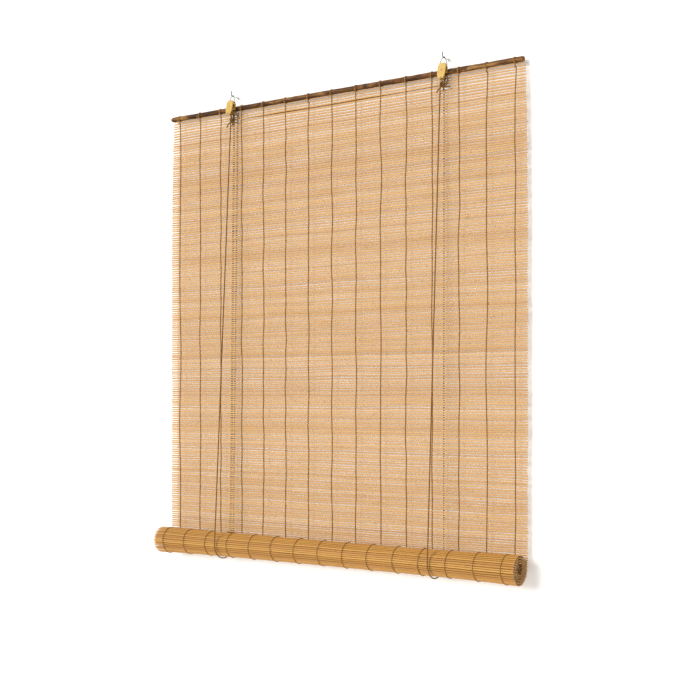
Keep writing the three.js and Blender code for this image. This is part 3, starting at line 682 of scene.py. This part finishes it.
class Weave:
    """Splints laid one after another along the fabric, and the warps that bind them.

    s is the distance along the fabric, and place(x, s, out, centre) gives points in the frame, where centre
    is the s of the splint's middle. The gaps are wider by airy at the top, clear is kept free for the
    cord behind it, and pinch is how far the left and right edges draw in at the top."""

    def __init__(
        self, length, place, sag, name, depths, gap, ragged, airy=0.0, clear=(0.0, 0.0), pinch=(0.0, 0.0)
    ):
        self.place = place
        self.name = name
        self.ragged = ragged
        self.pinch = pinch
        positions, heights = [], []
        s = SPLINT_PITCH * 0.1
        while s < length - SPLINT_PITCH * 0.7:
            height = rng.uniform(*SPLINT_HEIGHTS)
            if s + height > clear[0] and s < clear[1]:
                s = clear[1]
            positions.append(s + height / 2)
            heights.append(height)
            open_top = airy * math.exp(-((s / 0.09) ** 2))
            space = float(np.clip(gap * rng.gamma(9.0) / 9.0, 0.0004, 0.0028))
            s += height + space + open_top
        scale = (length - 0.0022 - positions[0]) / (positions[-1] - positions[0])
        self.s = (np.array(positions) - positions[0]) * scale + positions[0]
        self.height = np.array(heights)
        self.depth = rng.uniform(*depths, len(heights))
        self.field = wander(14, ((0.12, 0.6), (0.07, 0.3)), sag)
        n = len(heights)
        self.own = [
            (rng.uniform(0.25, 1.1, n), rng.uniform(0, 6.28, n), rng.uniform(0, 0.00020, n)) for _ in range(3)
        ]

    def along(self, x):
        """Where each splint is along the fabric at x, shape (splints, ...)."""
        x = np.asarray(x, float)
        if x.ndim == 1:
            x = np.broadcast_to(x, (len(self.s), len(x)))
        s = self.s[:, None] + self.field(x, self.s[:, None])
        for wavelength, phase, weight in self.own:
            s = s + weight[:, None] * np.sin(2 * math.pi * x / wavelength[:, None] + phase[:, None])
        return s

    def splints(self, material, stations=33, joints=2, sides=8):
        """All splints as one object: rings along each, closer together at its joints and ends."""
        n = len(self.s)
        u = np.broadcast_to(np.linspace(0, 1, stations), (n, stations))
        centres = rng.uniform(0.03, 0.97, (n, joints))
        half_joint = 0.0022
        inset = np.tile([0.0003, 0.9997], (n, 1))
        around = np.concatenate([centres - half_joint, centres, centres + half_joint, inset], axis=1)
        zero = np.zeros((n, joints))
        mark = np.concatenate([zero, np.ones((n, joints)), zero, np.zeros((n, 2))], axis=1)
        u = np.concatenate([u, around], axis=1)
        joint = np.concatenate([np.zeros((n, stations)), mark], axis=1)
        order = np.argsort(u, axis=1)
        u, joint = np.take_along_axis(u, order, 1), np.take_along_axis(joint, order, 1)
        cut = np.zeros_like(u)
        cut[:, [0, -1]] = 1
        inward = np.exp(-self.s / 0.12)
        most = 2 * self.ragged
        low = -FABRIC_HALF + self.pinch[0] * inward + rng.normal(0.0, self.ragged, n).clip(-most, most)
        high = FABRIC_HALF - self.pinch[1] * inward + rng.normal(0.0, self.ragged, n).clip(-most, most)
        x = low[:, None] + (high - low)[:, None] * u
        s = self.along(x)
        swell = 1 + 0.10 * joint
        angle = 2 * math.pi * (np.arange(sides) + 0.5) / sides
        c, q = np.cos(angle), np.sin(angle)
        across = np.sign(q) * np.abs(q) ** SPLINT_SQUARENESS
        deep = np.sign(c) * np.abs(c) ** SPLINT_SQUARENESS
        uneven = 1 - 75 * self.field(x * 3.1, self.s[:, None] * 5)
        half_h = self.height[:, None] / 2 * swell * uneven
        half_d = self.depth[:, None] / 2 * swell
        lift = rng.normal(0, 0.00018, n)[:, None]
        ss = s[..., None] + half_h[..., None] * across
        oo = lift[..., None] + half_d[..., None] * deep
        xx = np.broadcast_to(x[..., None], ss.shape)
        vertices = self.place(xx, ss, oo, s[..., None]).reshape(-1, 3)
        rows = u.shape[1]
        faces = []
        for i in range(n):
            faces += grid_faces(rows, sides, i * rows * sides)
        tone = np.broadcast_to(rng.beta(2.2, 2.0, n)[:, None, None], ss.shape)
        shift = rng.uniform(0, 40, n)[:, None, None]
        grain = np.stack([xx + shift, ss * 0 + half_h[..., None] * across + shift, oo], axis=-1)
        marks = np.broadcast_to(joint[..., None], ss.shape)
        cuts = np.broadcast_to(cut[..., None], ss.shape)
        obj = make_object(
            f"{self.name}_splints", vertices, faces, material,
            floats={"tone": tone, "joint": marks, "cut": cuts}, vectors={"grain": grain.reshape(-1, 3)},
        )
        # Crisp cut ends on round sides.
        obj.data.polygons.foreach_set("use_smooth", [len(p.vertices) == 4 for p in obj.data.polygons])
        return obj

    def warps(self, radius=WARP_RADIUS, sides=6):
        """Two strands at each warp, one before and one behind each splint, crossing in each gap."""
        vertices, faces, lays = [], [], []
        start = 0
        for x in WARPS:
            drift = wander(5, ((0.1, 0.3), (0.08, 0.5)), 0.0016)
            s = self.along([x])[:, 0]
            for strand in (0, 1):
                rows = []
                for i, (at, height, depth) in enumerate(zip(s, self.height, self.depth)):
                    side = 1 if (i + strand) % 2 else -1
                    out = depth / 2 + radius * 0.9
                    shoulder, shoulder_out = height * 0.42, side * out * 0.72
                    sway = float(drift(x, at))
                    rows.append((x + sway - side * 0.00012, at - shoulder, shoulder_out))
                    rows.append((x + sway + side * 0.00022, at, side * out))
                    rows.append((x + sway + side * 0.00048, at + shoulder, shoulder_out))
                    if i + 1 < len(s):
                        middle = (at + s[i + 1]) / 2 + (height - self.height[i + 1]) / 4
                        rows.append((x + sway + side * 0.0002, middle, 0.0))
                rows = np.array(rows)
                points = self.place(rows[:, 0], rows[:, 1], rows[:, 2], rows[:, 1])
                _, n, b = frames_along(points)
                a = 2 * math.pi * np.arange(sides) / sides
                ring = points[:, None, :] + radius * (
                    np.cos(a)[None, :, None] * n[:, None, :] + np.sin(a)[None, :, None] * b[:, None, :]
                )
                vertices.append(ring.reshape(-1, 3))
                faces += grid_faces(len(points), sides, start)
                # The lay value paints shade in three grooves along the thread.
                lays.append(np.broadcast_to(0.5 + 0.5 * np.cos(3 * a), (len(points), sides)).ravel())
                start += len(points) * sides
        return make_object(
            f"{self.name}_warps", np.vstack(vertices), faces, WARP_THREAD, floats={"lay": np.concatenate(lays)}
        )


def hanging_place(x, s, out, _):
    """Straight down from the fabric's top; out is towards the room."""
    x, s, out = np.broadcast_arrays(x, s, out)
    return np.stack([x, FABRIC_Y - out, FABRIC_TOP - s], axis=-1)


# Angle and radius of the winding at each distance along it.
winding_angles = np.linspace(0, 2 * math.pi * ROLL_TURNS, 2400)
winding_radii = ROLL_RADIUS - LAYER / 2 - ROLL_PITCH * winding_angles / (2 * math.pi)
winding_steps = np.diff(winding_angles) * (winding_radii[1:] + winding_radii[:-1]) / 2
winding_lengths = np.concatenate([[0], np.cumsum(winding_steps)])
ROLLED_LENGTH = float(winding_lengths[-1])


def rolled_place(x, s, out, centre):
    """Wound from behind the roll at axle height, down, forward, up and inward; splints stay flat."""
    x, s, out, centre = np.broadcast_arrays(x, s, out, centre)
    angle = np.interp(centre, winding_lengths, winding_angles)
    from_middle = np.abs(x)
    flare = 1 + 0.10 * np.clip((from_middle - 0.3) / 0.2, 0, 1) ** 2 - 0.02 * (1 - from_middle / FABRIC_HALF)
    radius = np.interp(centre, winding_lengths, winding_radii) * flare - out
    # The thicker ends grow towards the room, so that the fabric behind them still hangs flat.
    axis_y = ROLL_Y - (flare - 1) * ROLL_RADIUS
    y = axis_y + radius * np.cos(angle) - (s - centre) * np.sin(angle)
    z = ROLL_Z - radius * np.sin(angle) - (s - centre) * np.cos(angle)
    return np.stack([x, y, z], axis=-1)


panel = Weave(
    FABRIC_TOP - FABRIC_BOTTOM, hanging_place, 0.0008, "panel", (0.0019, 0.0027), 0.00152,
    ragged=0.0006, airy=0.0005, clear=(0.0160, 0.0184), pinch=(0.0080, 0.0048),
)
panel_splints = with_frame(panel.splints(PANEL_BAMBOO_PAINTED_LIT), "headrail", "slats", "slat_panel")
panel_warps = with_frame(panel.warps(), "headrail", "slats")
for piece in (panel_splints, panel_warps):
    shorten(piece)

FIRST_SPLINT_Z = -0.04045
FIRST_SPLINT_LEFT, FIRST_SPLINT_RIGHT = 0.0088 - FABRIC_HALF, FABRIC_HALF - 0.0054
FIRST_SPLINT_HALF_HEIGHT, FIRST_SPLINT_HALF_DEPTH = 0.00105, 0.0011


def first_splint():
    """The splint bound right under the rod, above the place where the cords pass to the back."""
    stations = np.linspace(FIRST_SPLINT_LEFT, FIRST_SPLINT_RIGHT, 60)
    sway = wander(6, ((0.15, 0.7), (0.1, 0.3)), 0.00022)
    sides = 8
    vertices, grain = [], []
    for x in stations:
        z = FIRST_SPLINT_Z + float(sway(x, 0))
        for k in range(sides):
            a = 2 * math.pi * (k + 0.5) / sides
            up, out = FIRST_SPLINT_HALF_HEIGHT * math.sin(a), FIRST_SPLINT_HALF_DEPTH * math.cos(a)
            vertices.append((x, FABRIC_Y - out, z + up))
            grain.append((x + 7, up + 7, out))
    count = len(vertices)
    obj = make_object(
        "first_splint", vertices, grid_faces(len(stations), sides, 0), PANEL_BAMBOO_PAINTED_LIT,
        floats={"tone": [0.55] * count, "joint": [0] * count, "cut": [0] * count}, vectors={"grain": grain},
    )
    return with_frame(obj, "headrail", "slats")


top_splint = first_splint()

roll = Weave(ROLLED_LENGTH, rolled_place, 0.0006, "roll", (0.0012, 0.0016), 0.0008, ragged=0.0003)
roll_splints = with_frame(roll.splints(ROLL_BAMBOO_PAINTED_BOUNCE), "roll", "rolled_slats", "slat_roll")
roll_warps = with_frame(roll.warps(), "roll", "rolled_slats")


# ---- Head rod ----
def rod_object():
    """A cane with a slight swell at each joint and a wavy side."""
    stations = np.linspace(ROD_LEFT, ROD_RIGHT, 334)
    sides = 28
    joints = np.array([-0.42, -0.165, 0.095, 0.355])
    bumps = wander(10, ((0.02, 0.2), (0.7, 6.3)), 0.00035)
    vertices, marks = [], []
    for x in stations:
        near = np.exp(-(((x - joints) / 0.0022) ** 2)).max()
        radius = ROD_RADIUS - 0.00015 + 0.0004 * near
        if x in (stations[0], stations[-1]):
            radius -= 0.0009
        for k in range(sides):
            a = 2 * math.pi * k / sides
            r = radius + float(bumps(x, a)) * (0.4 + 0.6 * abs(math.sin(a)))
            vertices.append((x, ROD_Y + r * math.cos(a), ROD_Z + r * math.sin(a)))
            marks.append(near)
    faces = grid_faces(len(stations), sides, 0)
    return make_object("rod_cane", vertices, faces, CANE, floats={"joint": marks})


with_frame(rod_object(), "headrail", "dark_cane", "head_rod")


# ---- Warp ends tied round the rod ----
def rod_wrap(x, radius, turns, width, lean=0.0, start=0.0):
    """Turns of thread round the rod, in mm."""
    return [
        (
            x - width / 2 + width * t + lean * math.sin(2 * math.pi * turns * t),
            ROD_Y / MM + radius * math.cos(start + 2 * math.pi * turns * t),
            ROD_Z / MM + radius * math.sin(start + 2 * math.pi * turns * t),
        )
        for t in np.linspace(0, 1, int(28 * turns))
    ]


def loose_tail(start, reach, drop, curl, seed):
    """A stiff thread end that stands off the rod and droops."""
    r = np.random.default_rng(seed)
    side = r.choice([-1, 1])
    points = [start]
    for t in np.linspace(0.2, 1, 7):
        points.append(
            (
                start[0] + side * reach * math.sin(t * (1.2 + curl)) / (1 + 0.4 * curl),
                start[1] - 1.6 * math.sin(t * 3.0) - 0.6,
                start[2] - drop * t + curl * 2.2 * math.sin(t * math.pi),
            )
        )
    return smooth_route(points, 8)


for number, x in enumerate(WARPS, 1):
    seed = 100 + number
    r = np.random.default_rng(seed)
    x_mm = x / MM
    front = (x_mm + r.uniform(-0.8, 0.8), ROD_Y / MM - 6.2, ROD_Z / MM - 4.6 + r.uniform(-0.6, 0.6))
    turns, width, slant = r.choice([2.0, 3.0]), r.uniform(2.0, 3.4), r.uniform(-0.4, 0.4)
    routes = [
        metres(rod_wrap(x_mm, 6.75, turns, width, slant, math.pi / 2)),
        metres(overhand(front, r.uniform(1.3, 1.7), r.uniform(0, 3), r.uniform(-0.5, 0.5))),
        metres(loose_tail(front, r.uniform(3, 9), r.uniform(3, 9), r.choice([0.0, 0.6, 1.8]), seed)),
    ]
    for step in (-0.5, 0.5):
        routes.append(
            metres(
                smooth_route(
                    [
                        (x_mm + step, ROD_Y / MM - 6.2 * 0.6, ROD_Z / MM - 5.6),
                        (x_mm + step * 1.3, ROD_Y / MM - 1.8, ROD_Z / MM - 9.0),
                        (x_mm + step, ROD_Y / MM - 0.9 + step * 3, ROD_Z / MM - 13.6),
                        (x_mm + step * 0.6, ROD_Y / MM + step * 2, ROD_Z / MM - 16.5),
                    ],
                    6,
                )
            )
        )
    tie, _ = rope_object(
        f"warp_end_{number:02d}", routes, 0.68 * MM, WARP_THREAD, sides=8, turn=0.004, step=0.0009
    )
    with_frame(tie, "headrail", "twine", f"warp_tie_{number:02d}")


# ---- Knots at the pulleys ----
ROD_TIE_RADIUS = 8.2
KNOT_Y, KNOT_Z = -21.2, -60.5
for side, pulley_x, rear_x in (("left", LEFT_X, LEFT_REAR_X), ("right", RIGHT_X, RIGHT_REAR_X)):
    ring = metres(
        [
            (pulley_x, ROD_Y / MM + ROD_TIE_RADIUS * math.cos(a), ROD_Z / MM + ROD_TIE_RADIUS * math.sin(a))
            for a in np.linspace(0, 2 * math.pi, 90)
        ]
    )
    rod_tie, _ = rope_object(f"{side}_rod_tie_twist", [ring], CORD_RADIUS, ends=1.0)
    with_frame(rod_tie, "headrail", "twine", f"{side}_rod_tie")

    heart = np.array([pulley_x - 1.5, KNOT_Y, KNOT_Z])
    tails = [
        heart + [(0, 0, 0), (-3.8, -1.5, -4.4), (-9, -2.4, -9.6), (-14.5, -2, -16.5)],
        heart + [(0, 0, 0), (4.4, -1.4, -3.4), (11, -1.2, -6.4), (18.5, 0.4, -6.6)],
        heart + [(0, 0, 0), (2, 1.0, -5), (1.2, 1.6, -9.4), (-1.6, 1.4, -13)],
    ]
    loop = heart + [
        (0, 0, 0), (3.5, -1.8, 4.6), (8.6, -1.6, 5.2), (10.4, -1, 0.6), (6.2, -0.6, -3.4), (1, 0, -1)
    ]
    ups = [
        [(pulley_x - 2.6, -18.6, -42.2), (pulley_x - 4.4, -19.6, -49), (pulley_x - 3, KNOT_Y, -57)],
        [(pulley_x + 2.6, -18.6, -42.0), (pulley_x + 3.6, -19.6, -49), (pulley_x + 1.5, KNOT_Y, -57)],
    ]
    routes = [metres(smooth_route(t, 10)) for t in (*tails, loop, *ups)]
    routes += [
        metres(overhand(heart, 5.4, 0.3, 0.2, 1.05)),
        metres(overhand(heart, 4.6, 1.7, -0.6)),
        metres(overhand(heart + [0.6, 0.4, 2.6], 3.8, 2.6, 0.3)),
    ]
    knot, _ = rope_object(f"{side}_knot_tied", routes, 1.55 * MM, step=0.0009)
    with_frame(knot, "headrail", "twine", f"{side}_tie_knot")

    rear = (rear_x, -8.4, -44.0)
    into_cord = smooth_route([rear, (rear_x + 0.6, -9.4, -46), (rear_x, -9.9, -47.4)], 5)
    routes = [metres(overhand(rear, 2.0, 0.8)), metres(into_cord)]
    rear_knot, _ = rope_object(f"{side}_rear_knot_tied", routes, 0.95 * MM, step=0.0007)
    with_frame(rear_knot, "headrail", "twine", f"{side}_rear_knot")


# ---- CAD nodes that stay ----
MATERIAL_BY_ENDING = {
    "_pulley_housing": PLASTIC,
    "_sheave": SHEAVE,
    "_core": CANE,
    "_pin": DARK_STEEL,
    "_wall_hook": HOOK_STEEL,
}
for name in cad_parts:
    node = bpy.data.objects[name] if name in bpy.data.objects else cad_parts[name]
    if node.hide_render:
        continue
    material = next((m for ending, m in MATERIAL_BY_ENDING.items() if name.endswith(ending)), STEEL)
    for slot in node.material_slots:
        slot.material = material


# ---- Stage: wall, floor, lights ----
def flat(name, corners, material):
    """A still quad of the stage."""
    obj = make_object(name, corners, [(0, 1, 2, 3)], material, smooth=False)
    return obj


def stage_material(name, color, glow, see_through):
    """Matte paint with a little light of its own; see_through clears its back for views from behind."""
    s = Shader(name)
    s.finish(Base_Color=(*color, 1), Roughness=0.9, Emission_Color=(1, 1, 1, 1), Emission_Strength=glow)
    if see_through:
        side = s.add("NewGeometry").outputs["Backfacing"]
        clear = s.add("BsdfTransparent").outputs[0]
        join = s.tree.nodes.new("ShaderNodeMixShader")
        s.tree.links.new(side, join.inputs[0])
        s.tree.links.new(s.main.outputs[0], join.inputs[1])
        s.tree.links.new(clear, join.inputs[2])
        s.tree.links.new(join.outputs[0], s.out.inputs[0])
    return s.material


FLOOR_Z = -3.3
flat(
    "wall",
    [(-7, 0, FLOOR_Z), (7, 0, FLOOR_Z), (7, 0, 4), (-7, 0, 4)],
    stage_material("wall_white", (0.92, 0.91, 0.895), 0.2, True),
)
flat(
    "floor",
    [(-7, -9, FLOOR_Z), (7, -9, FLOOR_Z), (7, 0, FLOOR_Z), (-7, 0, FLOOR_Z)],
    stage_material("floor_pale", (0.86, 0.86, 0.85), 0.1, False),
)

world = bpy.data.worlds.new("studio")
bpy.context.scene.world = world
world.use_nodes = True
background = world.node_tree.nodes["Background"]
background.inputs["Color"].default_value = (1.0, 1.0, 1.0, 1)
background.inputs["Strength"].default_value = 0.39

sun_data = bpy.data.lights.new("key", "SUN")
sun_data.energy = 2.9
sun_data.angle = 0.52
sun_data.color = (1.0, 0.98, 0.95)
sun = bpy.data.objects.new("key", sun_data)
sun.rotation_euler = Vector((0.42, 1.0, -0.36)).to_track_quat("-Z", "Y").to_euler()
bpy.context.scene.collection.objects.link(sun)
